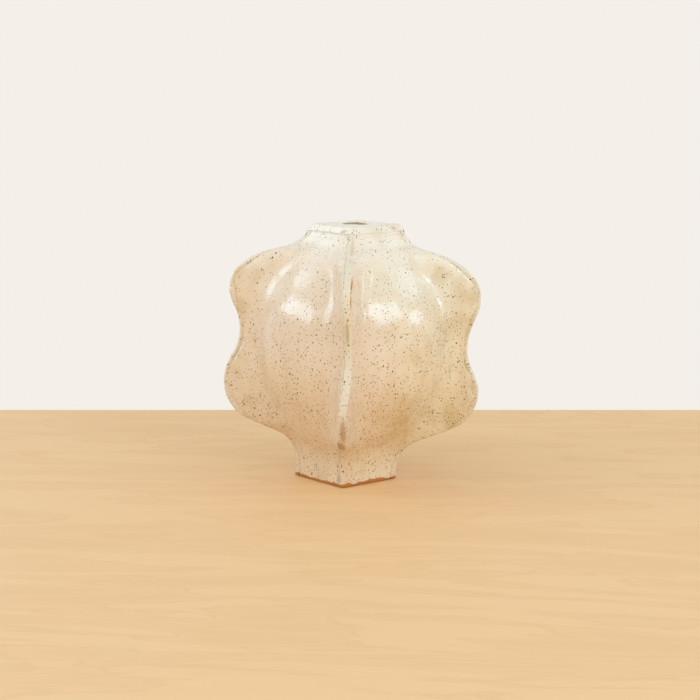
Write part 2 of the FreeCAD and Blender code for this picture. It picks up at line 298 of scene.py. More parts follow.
def linked(name: str, data: bpy.types.ID) -> bpy.types.Object:
    """Makes an object and links it to the scene.

    Args:
        name: Name of the object.
        data: Its mesh, lamp or camera.

    Returns:
        The object.
    """
    made = bpy.data.objects.new(name, data)
    bpy.context.scene.collection.objects.link(made)
    return made


class Effect:
    """Base of the shared effects: each is a node group that is built once."""

    name = ""
    takes: tuple[tuple[str, str], ...] = ()
    gives: tuple[str, ...] = ("Mask",)

    @classmethod
    def tree(cls) -> bpy.types.NodeTree:
        """Gives the group, built on first use.

        Returns:
            The node group.
        """
        found = bpy.data.node_groups.get(cls.name)
        if found:
            return found
        made = bpy.data.node_groups.new(cls.name, "ShaderNodeTree")
        for label, kind in cls.takes:
            made.interface.new_socket(name=label, in_out="INPUT", socket_type=kind)
        for label in cls.gives:
            made.interface.new_socket(name=label, in_out="OUTPUT", socket_type=NUMBER)
        wiring = Wiring(made)
        given = wiring.node("NodeGroupInput").outputs
        results = cls.wire(wiring, given)
        end = wiring.node("NodeGroupOutput")
        for label, socket in results.items():
            wiring.feed(end.inputs[label], socket)
        return made

    @classmethod
    def wire(cls, wiring: Wiring, given: Sockets) -> dict[str, Socket]:
        """Wires the group's inside and gives its results by name."""
        raise NotImplementedError


class IronSpecks(Effect):
    """Specks of iron that bleed through the glaze: small balls of uneven size, denser in places."""

    name = "iron_specks"
    takes = (("Spacing", NUMBER), ("Radius", NUMBER), ("Share", NUMBER), ("Shift", NUMBER))

    CROWD_SIZE = 24 * MM
    CROWDING = (2.4, -0.2)
    SMALLEST_SHARE = 0.55
    FULL_SHARE = 0.7
    SOFT_EDGE = 0.02 * MM

    @classmethod
    def wire(cls, wiring: Wiring, given: Sockets) -> dict[str, Socket]:
        """Wires random balls, kept or left out one by one.

        Args:
            wiring: The group's wiring.
            given: The group's inputs.

        Returns:
            The mask of the specks.
        """
        moved = wiring.vector("ADD", {0: wiring.place(), 1: given["Shift"]})
        pace = wiring.calc("DIVIDE", 1.0, given["Spacing"])
        spread = wiring.vector("SCALE", {0: moved, "Scale": pace})
        cells = wiring.node("ShaderNodeTexVoronoi", {"Vector": spread, "Scale": 1.0},
                            feature="F1").outputs
        chance = wiring.node("ShaderNodeSeparateColor", {"Color": cells["Color"]}).outputs
        crowd = wiring.noise(moved, cls.CROWD_SIZE, 1.0)
        kept_share = wiring.times(given["Share"], wiring.scaled(crowd, *cls.CROWDING))
        kept = wiring.calc("LESS_THAN", chance["Red"], kept_share)
        size = wiring.scaled(wiring.calc("POWER", chance["Green"], 2.0),
                             1.0 - cls.SMALLEST_SHARE, cls.SMALLEST_SHARE)
        radius = wiring.times(wiring.times(given["Radius"], size), kept)
        reach = wiring.times(cells["Distance"], given["Spacing"])
        inner = wiring.scaled(radius, cls.FULL_SHARE, -cls.SOFT_EDGE)
        return {"Mask": wiring.rise(reach, radius, inner)}


class KilnClouds(Effect):
    """Cloudy changes of the glaze, which may be drawn out downwards into runs."""

    name = "kiln_clouds"
    takes = (("Size", NUMBER), ("Drop", NUMBER), ("Low", NUMBER), ("High", NUMBER),
             ("Shift", NUMBER))

    @classmethod
    def wire(cls, wiring: Wiring, given: Sockets) -> dict[str, Socket]:
        """Wires stretched noise between a low and a high level.

        Args:
            wiring: The group's wiring.
            given: The group's inputs.

        Returns:
            The mask of the clouds.
        """
        moved = wiring.vector("ADD", {0: wiring.place(), 1: given["Shift"]})
        flat = wiring.calc("DIVIDE", 1.0, given["Size"])
        tall = wiring.calc("DIVIDE", flat, given["Drop"])
        pace = wiring.node("ShaderNodeCombineXYZ", {"X": flat, "Y": flat, "Z": tall})
        spread = wiring.vector("MULTIPLY", {0: moved, 1: pace.outputs[0]})
        cloud = wiring.node("ShaderNodeTexNoise", {"Vector": spread, "Scale": 1.0, "Detail": 1.6,
                                                   "Roughness": 0.5, "Distortion": 0.3})
        return {"Mask": wiring.rise(cloud.outputs[0], given["Low"], given["High"])}


class SeamMarks(Effect):
    """Masks along the seams: the pool of glaze on the cut edge, the joint, the fin and the flank.

    Its own lengths are in millimetres, like the distances that each glazed body carries.
    """

    name = "seam_marks"
    takes = (("Joint Width", NUMBER),)
    gives = ("Pool", "Joint", "Fin", "Flank", "Ridge")

    RIPPLE_SIZE = 9 * MM
    RIPPLE = 1.6
    POOL = (9.4, 7.2)
    FIN = (34.0, 12.0)
    FLANK = (16.0, 9.0)

    @classmethod
    def wire(cls, wiring: Wiring, given: Sockets) -> dict[str, Socket]:
        """Wires the distances that each glazed body carries.

        Args:
            wiring: The group's wiring.
            given: The group's inputs.

        Returns:
            The masks, and the distance from the nearest ridge.
        """
        ridge = wiring.node("ShaderNodeAttribute", attribute_name="ridge_mm").outputs["Fac"]
        joint = wiring.node("ShaderNodeAttribute", attribute_name="joint_mm").outputs["Fac"]
        ripple = wiring.scaled(wiring.noise(wiring.place(), cls.RIPPLE_SIZE),
                               cls.RIPPLE, -cls.RIPPLE / 2.0)
        wavy = wiring.calc("ADD", wiring.calc("ADD", ridge, joint), ripple)
        return {"Pool": wiring.rise(wavy, *cls.POOL),
                "Joint": wiring.rise(joint, given["Joint Width"], 0.0),
                "Fin": wiring.rise(joint, *cls.FIN),
                "Flank": wiring.rise(joint, *cls.FLANK),
                "Ridge": ridge}


class KilnMark(Effect):
    """One mark at a place: a ragged spot with its own reach along each axis."""

    name = "kiln_mark"
    takes = (("Centre", "NodeSocketVector"), ("Reach", "NodeSocketVector"), ("Ragged", NUMBER),
             ("Core", NUMBER))

    RAG_SIZE = 2.5 * MM

    @classmethod
    def wire(cls, wiring: Wiring, given: Sockets) -> dict[str, Socket]:
        """Wires the distance from the centre, in reaches, with ragged edges.

        Args:
            wiring: The group's wiring.
            given: The group's inputs.

        Returns:
            The mask of the mark.
        """
        place = wiring.place()
        away = wiring.vector("SUBTRACT", {0: place, 1: given["Centre"]})
        far = wiring.vector("LENGTH", {0: wiring.vector("DIVIDE", {0: away, 1: given["Reach"]})},
                            "Value")
        rag = wiring.calc("SUBTRACT", wiring.noise(place, cls.RAG_SIZE), 0.5)
        shifted = wiring.calc("ADD", far, wiring.times(given["Ragged"], rag))
        return {"Mask": wiring.rise(shifted, 1.0, given["Core"])}


class ToneByPlace(Effect):
    """Masks by place on the vase: height, side and the bare strip round the foot. Some of them
    place painted light: a painted reflection of the warm table low down, a painted sheen on the
    neck, and painted shade and light at the foot.

    Each pair says where a mask is 0 and where it is 1.
    """

    name = "tone_by_place"
    takes = (("Strip Height", NUMBER),)
    gives = ("Upper", "Neck", "Lower", "Left", "Front", "Shoulder", "Base", "Foot", "Bare")

    UPPER = (120 * MM, 190 * MM)
    # Paler neck: pale glaze and painted sheen.
    NECK = (185 * MM, 222 * MM)
    # Painted reflection of the warm table top: the glaze turns warmer towards the bottom.
    LOWER = (115 * MM, 55 * MM)
    ABOVE_FOOT = (14 * MM, 50 * MM)
    ABOVE_FOOT_SHARES = (0.7, 0.3)
    LEFT = (-5 * MM, 45 * MM)
    LEFTWARD = -0.7
    FRONT = (-20 * MM, -45 * MM)
    SHOULDER_LOW = (189 * MM, 199 * MM)
    SHOULDER_HIGH = (215 * MM, 207 * MM)
    BASE = (92 * MM, 64 * MM)
    # Painted shade and light round the foot: darker at the left, paler at the right.
    FOOT = (50 * MM, 25 * MM)
    DRIFT_SIZE = 40 * MM
    DRIFT = 60 * MM
    STRIP_WAVE_SIZE = 11 * MM
    STRIP_WAVE = (2.2, -0.2)
    STRIP_LEAST = 0.35 * MM
    STRIP_EDGE = 0.7 * MM

    @classmethod
    def wire(cls, wiring: Wiring, given: Sockets) -> dict[str, Socket]:
        """Wires the masks from the place on the object.

        Args:
            wiring: The group's wiring.
            given: The group's inputs.

        Returns:
            The masks by name.
        """
        place = wiring.place()
        axes = wiring.node("ShaderNodeSeparateXYZ", {0: place}).outputs
        wander = wiring.scaled(wiring.noise(place, cls.DRIFT_SIZE), cls.DRIFT, -cls.DRIFT / 2.0)
        height = wiring.calc("ADD", axes["Z"], wander)
        side = wiring.calc("ADD", wiring.times(axes["X"], cls.LEFTWARD),
                           wiring.times(axes["Y"], cls.LEFTWARD))
        wave = wiring.scaled(wiring.noise(place, cls.STRIP_WAVE_SIZE, 3.0), *cls.STRIP_WAVE)
        strip = wiring.calc("ADD", wiring.times(given["Strip Height"], wave), cls.STRIP_LEAST)
        above_foot = wiring.scaled(wiring.rise(axes["Z"], *cls.ABOVE_FOOT), *cls.ABOVE_FOOT_SHARES)
        return {"Upper": wiring.rise(height, *cls.UPPER),
                "Neck": wiring.rise(height, *cls.NECK),
                "Lower": wiring.times(wiring.rise(height, *cls.LOWER), above_foot),
                "Left": wiring.rise(side, *cls.LEFT),
                "Front": wiring.rise(axes["Y"], *cls.FRONT),
                "Shoulder": wiring.times(wiring.rise(axes["Z"], *cls.SHOULDER_LOW),
                                         wiring.rise(axes["Z"], *cls.SHOULDER_HIGH)),
                "Base": wiring.rise(axes["Z"], *cls.BASE),
                "Foot": wiring.rise(axes["Z"], *cls.FOOT),
                "Bare": wiring.rise(axes["Z"], strip,
                                    wiring.calc("SUBTRACT", strip, cls.STRIP_EDGE))}


@dataclass(frozen=True)
class Clouds:
    """One layer of clouds in a glaze or in clay.

    Args:
        size: Their size across.
        drop: How many times taller they are than wide.
        low: Level of the noise where they start.
        high: Level of the noise where they are full.
        shift: Offset from the other layers.
    """

    size: float
    drop: float
    low: float
    high: float
    shift: float = 0.0

    def mask(self, wiring: Wiring) -> Socket:
        """Places the layer in a material and gives its mask."""
        fields = {"Size": self.size, "Drop": self.drop, "Low": self.low, "High": self.high,
                  "Shift": self.shift}
        return wiring.group(KilnClouds.tree(), fields)["Mask"]


@dataclass(frozen=True)
class Specks:
    """One layer of iron specks.

    Args:
        spacing: Distance between their places.
        radius: Radius of the largest ones.
        share: Share of the places that hold one.
        shift: Offset from the other layers.
    """

    spacing: float
    radius: float
    share: float
    shift: float

    def mask(self, wiring: Wiring, left: Socket | None = None) -> Socket:
        """Places the layer in a material.

        Args:
            wiring: The material's wiring.
            left: Share of the specks that are left at each place, or None for all.

        Returns:
            The mask of the specks.
        """
        share = self.share if left is None else wiring.times(left, self.share)
        fields = {"Spacing": self.spacing, "Radius": self.radius, "Share": share,
                  "Shift": self.shift}
        return wiring.group(IronSpecks.tree(), fields)["Mask"]


@dataclass(frozen=True)
class Mark:
    """A brown or pale mark on the glaze, or a patch of painted shade such as the one inside the
    mouth.

    Args:
        centre: Middle of the mark, in metres.
        reach: Half its size along each axis, in metres.
        colour: Its colour in linear light.
        strength: Share of the colour at the middle.
        ragged: How uneven its edge is.
        core: Share of its reach inside which it is full.
        edge: How far from a ridge it may reach, in millimetres, or 0 for no limit.
    """

    centre: Vector
    reach: Vector
    colour: Colour
    strength: float = 1.0
    ragged: float = 0.9
    core: float = 0.4
    edge: float = 0.0

    EDGE_FULL_SHARE = 0.6

    def mask(self, wiring: Wiring, ridge: Socket) -> Socket:
        """Places the mark in a material.

        Args:
            wiring: The material's wiring.
            ridge: Distance from the nearest ridge, in millimetres.

        Returns:
            The share of the mark's colour at each place.
        """
        fields = {"Centre": self.centre, "Reach": self.reach, "Ragged": self.ragged,
                  "Core": self.core}
        share = wiring.times(wiring.group(KilnMark.tree(), fields)["Mask"], self.strength)
        if self.edge:
            near = wiring.rise(ridge, self.edge, self.EDGE_FULL_SHARE * self.edge)
            share = wiring.times(share, near)
        return share


@dataclass(frozen=True)
class SeamMark:
    """A mark along a seam's ridge, in millimetres.

    Args:
        seam: The seam.
        height: Height of its middle.
        length: Its length up the seam.
        width: Its width.
        aside: How far it lies beside the ridge, to the right as seen from outside.
        colour: Its colour in linear light.
        strength: Share of the colour at the middle.
        ragged: How uneven its edge is.
    """

    seam: Seam
    height: float
    length: float
    width: float
    aside: float
    colour: Colour
    strength: float
    ragged: float = 0.6

    EDGE_MARGIN = 0.8

    def placed(self, lines: SeamLines) -> Mark:
        """Places the mark on its ridge.

        Args:
            lines: Sharp lines of all slabs.

        Returns:
            The mark at its place on the vase.
        """
        ridge = lines.ridge_at(self.seam, self.height * MM)
        outward = Vector((*self.seam.value, 0.0))
        right = Vector((-outward.y, outward.x, 0.0))
        across, deep = self.width / 2.0 * MM, self.length * MM
        reach = Vector((abs(right.x) * across + abs(outward.x) * deep,
                        abs(right.y) * across + abs(outward.y) * deep, self.length / 2.0 * MM))
        centre = Vector((ridge.x, ridge.y, self.height * MM)) + right * self.aside * MM
        return Mark(centre, reach, self.colour, self.strength, self.ragged,
                    edge=self.width + abs(self.aside) + self.EDGE_MARGIN)


@dataclass(frozen=True)
class GlazeFinish:
    """Glossy cream glaze over speckled stoneware.

    Where two numbers weigh a mask, the first is what the mask adds and the second what is there
    without it.

    Args:
        name: Name of the material.
        cream: Glaze where it is thick and pale; at the right of the foot it is painted light.
        tan: Glaze where it is thin and warm; low down it is also a painted reflection of the warm
            table, and at the left of the foot painted shade.
        olive: Greenish tan of patches on the side fins, partly glaze tone and partly painted shade.
        blush: Pinkish tone of the front left side.
        celadon: Greenish cream of the upper part and the fins.
        pale: Thick pale glaze of the neck, there partly a painted sheen, and of the joints.
        pool: Glaze pooled along the cut edges.
        clay: Bare clay round the foot.
        iron: Colour of the dark specks.
        ochre: Colour of the faint specks.
        strip: Height of the bare strip round the foot.
        roughness: Roughness of the glaze.
        dulled: How much rougher it is on the shoulders and beside the front seam.
        ior: Its index of refraction.
        marks: Marks on the glaze, listed one by one.
    """

    name: str
    cream: Colour = linear(241, 230, 204)
    tan: Colour = linear(215, 188, 141)
    olive: Colour = linear(206, 184, 134)
    blush: Colour = linear(234, 215, 195)
    celadon: Colour = linear(239, 236, 219)
    pale: Colour = linear(243, 240, 230)
    pool: Colour = linear(228, 228, 207)
    clay: Colour = linear(190, 128, 54)
    iron: Colour = linear(78, 38, 4)
    ochre: Colour = linear(164, 108, 50)
    strip: float = 3.4 * MM
    roughness: float = 0.2
    dulled: float = 0.26
    ior: float = 1.52
    marks: tuple[Mark, ...] = ()

    JOINT_WIDTH = 0.9
    CLOUDS, CLOUD_SHARE = Clouds(30 * MM, 1.3, 0.35, 0.68), 0.42
    PATCHES, PATCH_SHARE = Clouds(13 * MM, 1.6, 0.46, 0.72, 0.59), 0.22
    # Olive patches on the side fins: partly glaze tone, partly painted shade.
    SHADES, SHADE_SHARE = Clouds(19 * MM, 1.2, 0.48, 0.68, 0.83), 0.45
    RUNS, RUN_SHARE = Clouds(7 * MM, 7.0, 0.5, 0.75, 0.31), 0.3
    # The first share weighs the painted reflection of the warm table low down, the last the pale
    # glaze and painted sheen of the neck.
    LOWER_SHARE, BLUSH_SHARE, NECK_SHARE = 0.36, 0.65, 0.6
    # Painted shade at the left of the foot, painted light at the right.
    LEFT_FOOT_SHARE, RIGHT_FOOT_SHARE = 0.4, 0.55
    CELADON_BY_LEFT = (-0.55, 0.8)
    POOLS = Clouds(12 * MM, 2.0, 0.3, 0.6, 0.47)
    POOL_BY_POOLS, POOL_BY_FRONT, POOL_BY_BASE = (0.45, 0.1), (0.8, 0.5), (-0.65, 1.0)
    JOINT_BY_UPPER = (0.6, 0.15)
    FAINT_SPECKS, FAINT_SHARE = Specks(1.9 * MM, 0.5 * MM, 0.5, 0.11), 0.55
    DARK_SPECKS = (Specks(2.05 * MM, 0.67 * MM, 0.8, 0.23), Specks(4.1 * MM, 0.92 * MM, 0.75, 0.57))
    SPECKS_BY_UPPER = (-0.45, 1.0)
    IRON_METAL, MATT_ROUGHNESS, BARE_ROUGHNESS = 0.95, 0.3, 0.65
    STROKES, STROKE_DEPTH = Clouds(7 * MM, 6.0, 0.2, 0.8, 0.77), 0.18 * MM
    RIPPLES, RIPPLE_DEPTH = Clouds(4 * MM, 1.0, 0.2, 0.8, 0.13), 0.05 * MM
    GRIT_SIZE, GRIT_DEPTH = 0.7 * MM, 0.25 * MM

    def build(self) -> bpy.types.Material:
        """Builds the material.

        Returns:
            The glaze, ready for a piece.
        """
        material, wiring, inputs = started(self.name)
        tones = wiring.group(ToneByPlace.tree(), {"Strip Height": self.strip})
        seams = wiring.group(SeamMarks.tree(), {"Joint Width": self.JOINT_WIDTH})
        colour = self.ground(wiring, tones, seams)
        colour = self.seam_glaze(wiring, colour, tones, seams)
        spots = [mark.mask(wiring, seams["Ridge"]) for mark in self.marks]
        for mark, spot in zip(self.marks, spots):
            colour = wiring.blend(spot, colour, mark.colour)
        colour, specks = self.specked(wiring, colour, tones)
        colour = wiring.blend(tones["Bare"], colour, self.clay)
        wiring.feed(inputs["Base Color"], colour)
        iron = wiring.times(specks, wiring.calc("SUBTRACT", 1.0, tones["Bare"]))
        wiring.feed(inputs["Metallic"], wiring.times(iron, self.IRON_METAL))
        flank = wiring.times(seams["Flank"], tones["Front"])
        dull = wiring.scaled(wiring.largest([tones["Shoulder"], flank]), self.dulled,
                             self.roughness)
        dull = wiring.scaled(wiring.largest([specks, *spots]), self.MATT_ROUGHNESS, dull)
        rough = wiring.calc("MULTIPLY_ADD", tones["Bare"], self.BARE_ROUGHNESS, dull, clamp=True)
        wiring.feed(inputs["Roughness"], rough)
        inputs["IOR"].default_value = self.ior
        wiring.feed(inputs["Normal"], self.relief(wiring, tones))
        return material

    def ground(self, wiring: Wiring, tones: Sockets, seams: Sockets) -> Socket:
        """Wires the glaze's colour: greenish and pale above, blushed at left, with painted light: a
        painted reflection of the warm table low down, a painted sheen on the pale neck, painted
        shade in the olive patches of the side fins, and painted shade and light at the left and
        right of the foot.

        Args:
            wiring: The material's wiring.
            tones: Masks by place.
            seams: Masks along the seams.

        Returns:
            The colour.
        """
        # Warm clouds and patches are glaze tone; the share low down is a painted reflection of the
        # warm table.
        warm = wiring.calc("ADD", wiring.times(self.CLOUDS.mask(wiring), self.CLOUD_SHARE),
                           wiring.times(tones["Lower"], self.LOWER_SHARE))
        warm = wiring.calc("ADD", warm, wiring.times(self.PATCHES.mask(wiring), self.PATCH_SHARE))
        colour = wiring.blend(warm, self.cream, self.tan)
        colour = wiring.blend(wiring.times(tones["Left"], self.BLUSH_SHARE), colour, self.blush)
        green = wiring.times(tones["Upper"], wiring.scaled(tones["Left"], *self.CELADON_BY_LEFT))
        colour = wiring.blend(green, colour, self.celadon)
        # Painted shade on the side fins, in olive patches that are partly glaze tone.
        side_fin = wiring.times(seams["Fin"], wiring.calc("SUBTRACT", 1.0, tones["Front"]))
        shade = wiring.times(wiring.times(self.SHADES.mask(wiring), side_fin), self.SHADE_SHARE)
        colour = wiring.blend(shade, colour, self.olive)
        # Paler neck: pale glaze and painted sheen.
        colour = wiring.blend(wiring.times(tones["Neck"], self.NECK_SHARE), colour, self.pale)
        # Painted shade at the left of the foot, painted light at the right.
        left_foot = wiring.times(tones["Foot"], tones["Left"])
        right_foot = wiring.calc("SUBTRACT", tones["Foot"], left_foot)
        colour = wiring.blend(wiring.times(left_foot, self.LEFT_FOOT_SHARE), colour, self.tan)
        colour = wiring.blend(wiring.times(right_foot, self.RIGHT_FOOT_SHARE), colour, self.cream)
        runs = wiring.times(self.RUNS.mask(wiring), self.RUN_SHARE)
        return wiring.blend(runs, colour, self.cream)

    def seam_glaze(self, wiring: Wiring, colour: Socket, tones: Sockets, seams: Sockets) -> Socket:
        """Wires the pool of glaze on the cut edges and the pale glaze that closes each joint.

        Args:
            wiring: The material's wiring.
            colour: The colour so far.
            tones: Masks by place.
            seams: Masks along the seams.

        Returns:
            The colour with both on it.
        """
        pool = seams["Pool"]
        for mask, weights in ((self.POOLS.mask(wiring), self.POOL_BY_POOLS),
                              (tones["Front"], self.POOL_BY_FRONT),
                              (tones["Base"], self.POOL_BY_BASE)):
            pool = wiring.times(pool, wiring.scaled(mask, *weights))
        colour = wiring.blend(pool, colour, self.pool)
        closed = wiring.times(seams["Joint"], wiring.scaled(tones["Upper"], *self.JOINT_BY_UPPER))
        return wiring.blend(closed, colour, self.pale)

    def specked(self, wiring: Wiring, colour: Socket, tones: Sockets) -> tuple[Socket, Socket]:
        """Wires three layers of iron specks.

        Args:
            wiring: The material's wiring.
            colour: The colour so far.
            tones: Masks by place.

        Returns:
            The colour with all specks, and the mask of the dark ones.
        """
        left = wiring.scaled(tones["Upper"], *self.SPECKS_BY_UPPER)
        faint = wiring.times(self.FAINT_SPECKS.mask(wiring, left), self.FAINT_SHARE)
        colour = wiring.blend(faint, colour, self.ochre)
        dark = [specks.mask(wiring, left) for specks in self.DARK_SPECKS]
        for mask in dark:
            colour = wiring.blend(mask, colour, self.iron)
        return colour, wiring.largest(dark)

    def relief(self, wiring: Wiring, tones: Sockets) -> Socket:
        """Wires the fine relief: finger strokes down the wall, ripples, and grit on the strip.

        Args:
            wiring: The material's wiring.
            tones: Masks by place.

        Returns:
            The normal.
        """
        height = wiring.calc("ADD", wiring.times(self.STROKES.mask(wiring), self.STROKE_DEPTH),
                             wiring.times(self.RIPPLES.mask(wiring), self.RIPPLE_DEPTH))
        grit = wiring.times(wiring.noise(wiring.place(), self.GRIT_SIZE), tones["Bare"])
        return wiring.bump(wiring.calc("ADD", height, wiring.times(grit, self.GRIT_DEPTH)))


@dataclass(frozen=True)
class BareClayFinish:
    """Unglazed stoneware: gritty, matt and warm brown.

    Args:
        name: Name of the material.
        light: Its pale tone.
        dark: Its dark tone.
        iron: Colour of the specks.
        roughness: Its roughness.
    """

    name: str
    light: Colour = linear(186, 146, 98)
    dark: Colour = linear(150, 106, 62)
    iron: Colour = linear(78, 54, 34)
    roughness: float = 0.85

    CLOUDS = Clouds(14 * MM, 1.0, 0.3, 0.7)
    SPECKS = Specks(2.5 * MM, 0.6 * MM, 0.4, 0.23)
    GRIT_SIZE, GRIT_DEPTH = 0.8 * MM, 0.2 * MM

    def build(self) -> bpy.types.Material:
        """Builds the material.

        Returns:
            The bare clay, ready for a piece.
        """
        material, wiring, inputs = started(self.name)
        colour = wiring.blend(self.CLOUDS.mask(wiring), self.light, self.dark)
        wiring.feed(inputs["Base Color"],
                    wiring.blend(self.SPECKS.mask(wiring), colour, self.iron))
        inputs["Roughness"].default_value = self.roughness
        grit = wiring.noise(wiring.place(), self.GRIT_SIZE, 4.0)
        wiring.feed(inputs["Normal"], wiring.bump(wiring.times(grit, self.GRIT_DEPTH)))
        return material


class SeamLines:
    """Lines of the slabs' sharp edges: the ridges of the cut edges, and the joints beside them.

    SHARP is the angle from which an edge counts, and STEP the distance between the points on it.
    An edge is a joint if another slab is within TOUCHING, and a ridge if none is within FREE.
    FOOT_EDGE is the height up to which an edge belongs to the foot, and SEAM_SIDE is how much of
    its direction in plan a ridge shares with its seam.
    """

    SHARP = math.radians(40.0)
    STEP = 0.5 * MM
    TOUCHING = 0.6 * MM
    FREE = 3.0 * MM
    FOOT_EDGE = 2 * MM
    SEAM_SIDE = 0.7

    def __init__(self, slabs: list[bpy.types.Object], top: float) -> None:
        """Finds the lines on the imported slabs.

        Args:
            slabs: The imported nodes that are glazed.
            top: Height above which an edge belongs to the rim.
        """
        sharp = {slab.name: self.sharp_points(slab) for slab in slabs}
        trees = {slab.name: tree_of(slab) for slab in slabs}
        ridge, joint = [], []
        self.free = {}
        for name, points in sharp.items():
            others = [tree for other, tree in trees.items() if other != name]
            gaps = [min(tree.find_nearest(point)[3] for tree in others) for point in points]
            loose = [p for p, gap in zip(points, gaps) if gap > self.TOUCHING]
            self.free[name] = nearest_tree(loose)
            joint += [p for p, gap in zip(points, gaps) if gap <= self.TOUCHING]
            ridge += [p for p, gap in zip(points, gaps)
                      if gap > self.FREE and self.FOOT_EDGE < p.z < top]
        self.ridge, self.joint = ridge, joint
        self.ridge_tree, self.joint_tree = nearest_tree(ridge), nearest_tree(joint)

    @classmethod
    def sharp_points(cls, slab: bpy.types.Object) -> list[Vector]:
        """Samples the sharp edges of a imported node.

        Args:
            slab: The node's object.

        Returns:
            Points along its sharp edges.
        """
        shape = welded(slab.data)
        points = []
        for edge in shape.edges:
            if len(edge.link_faces) == 2 and edge.calc_face_angle(0.0) > cls.SHARP:
                start, end = edge.verts[0].co, edge.verts[1].co
                count = max(1, round((end - start).length / cls.STEP))
                points += [start.lerp(end, i / count) for i in range(count + 1)]
        shape.free()
        return points

    def ridge_at(self, seam: Seam, height: float) -> Vector:
        """Finds the point of a seam's ridge that is nearest to a height.

        Args:
            seam: The seam.
            height: Height above the table.

        Returns:
            A point on the outer corner of the cut edge.
        """
        across = Vector((*seam.value, 0.0))
        own = [p for p in self.ridge if p.dot(across) > self.SEAM_SIDE * math.hypot(p.x, p.y)]
        return min(own, key=lambda p: abs(p.z - height))


def welded(mesh: bpy.types.Mesh) -> bmesh.types.BMesh:
    """Copies a mesh and joins the doubled corners of its faces.

    Args:
        mesh: The mesh.

    Returns:
        The copy, which the caller frees.
    """
    shape = bmesh.new()
    shape.from_mesh(mesh)
    bmesh.ops.remove_doubles(shape, verts=shape.verts, dist=DOUBLED)
    return shape


def tree_of(piece: bpy.types.Object) -> BVHTree:
    """Makes a tree for nearest points on a piece's faces."""
    corners = [vertex.co for vertex in piece.data.vertices]
    return BVHTree.FromPolygons(corners, [tuple(face.vertices) for face in piece.data.polygons])


def nearest_tree(points: list[Vector]) -> KDTree:
    """Makes a tree for nearest points of a list.

    Args:
        points: The points.

    Returns:
        The tree.
    """
    tree = KDTree(len(points))
    for number, point in enumerate(points):
        tree.insert(point, number)
    tree.balance()
    return tree


@dataclass
class HandWork:
    """What the potter's hands do to the clay: undulations, and a rim that sags between its corners.

    FOOT_STILL is the height up to which the undulations fade out towards the table, RIM_OUTER the
    share of the rim's reach from which it is drawn out, and RIM_WORKED how far below the rim its
    sag starts and is full.

    Args:
        vase: Places on the vase.
        swell_size: Size of the slow undulations.
        swell_depth: Depth of the slow undulations.
        dent_size: Size of the finger dents.
        dent_depth: Depth of the finger dents.
        rim_sag: How far the rim's edges sag between its corners.
        rim_tilt: How much lower the rim lies at the left corner.
        rim_blend: How far the clay is drawn out where the rim meets the walls.
        rim_blend_reach: How far above and below that line it is drawn out.
        seed: Seed of the undulations, so that every run gives the same slabs.
    """

    vase: VaseFrame
    swell_size: float = 38 * MM
    swell_depth: float = 0.9 * MM
    dent_size: float = 13 * MM
    dent_depth: float = 0.22 * MM
    rim_sag: float = 0.6 * MM
    rim_tilt: float = 0.4 * MM
    rim_blend: float = 1.3 * MM
    rim_blend_reach: float = 4.0 * MM
    seed: int = 27

    FOOT_STILL = 18 * MM
    RIM_OUTER = (0.7, 0.85)
    RIM_WORKED = (20 * MM, 4 * MM)
    TINY = 1e-9

    def worked(self, points: np.ndarray) -> np.ndarray:
        """Moves points the way the hands moved the clay there.

        Args:
            points: Points on the slabs.

        Returns:
            The moved points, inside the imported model's box and on the table.
        """
        noise.seed_set(self.seed)
        moved = np.empty_like(points)
        for number, point in enumerate(points):
            place = Vector(point)
            slow = noise.noise_vector(place / self.swell_size) * self.swell_depth
            quick = noise.noise_vector(place / self.dent_size) * self.dent_depth
            moved[number] = slow + quick
        moved *= eased(points[:, 2], 0.0, self.FOOT_STILL)[:, None]
        result = points + moved
        result[:, :2] += self.drawn_out(points)
        result[:, 2] -= self.rim_drop(points)
        low, high = np.array(self.vase.low), np.array(self.vase.high)
        return np.clip(result, low, high)

    def drawn_out(self, points: np.ndarray) -> np.ndarray:
        """How far the clay is drawn out at each point, so that the rim runs over into the walls.

        Args:
            points: Points on the slabs.

        Returns:
            The move in plan at each point.
        """
        plan = points[:, :2] - np.array([self.vase.lean, 0.0])
        reach = np.maximum(np.abs(plan).sum(axis=1), self.TINY)
        away = np.abs(points[:, 2] - self.vase.rim_foot)
        near = np.clip(1.0 - away / self.rim_blend_reach, 0.0, 1.0)
        outer = eased(reach, *(share * self.vase.rim_reach for share in self.RIM_OUTER))
        return plan * (self.rim_blend * math.sqrt(2.0) * near * outer / reach)[:, None]

    def rim_drop(self, points: np.ndarray) -> np.ndarray:
        """How far the rim hangs below its flat at each point.

        Args:
            points: Points on the slabs.

        Returns:
            The drop at each point.
        """
        x = points[:, 0] - self.vase.lean
        along, across = np.abs(x), np.abs(points[:, 1])
        reach = np.maximum(along + across, self.TINY)
        share = along / reach
        outward = np.clip(reach / self.vase.rim_reach, 0.0, 1.0)
        sag = self.rim_sag * 4.0 * share * (1.0 - share) * outward ** 2
        tilt = self.rim_tilt * eased(-x, -self.vase.rim_reach, self.vase.rim_reach)
        upper = eased(points[:, 2], *(self.vase.height - below for below in self.RIM_WORKED))
        return (sag + tilt) * upper


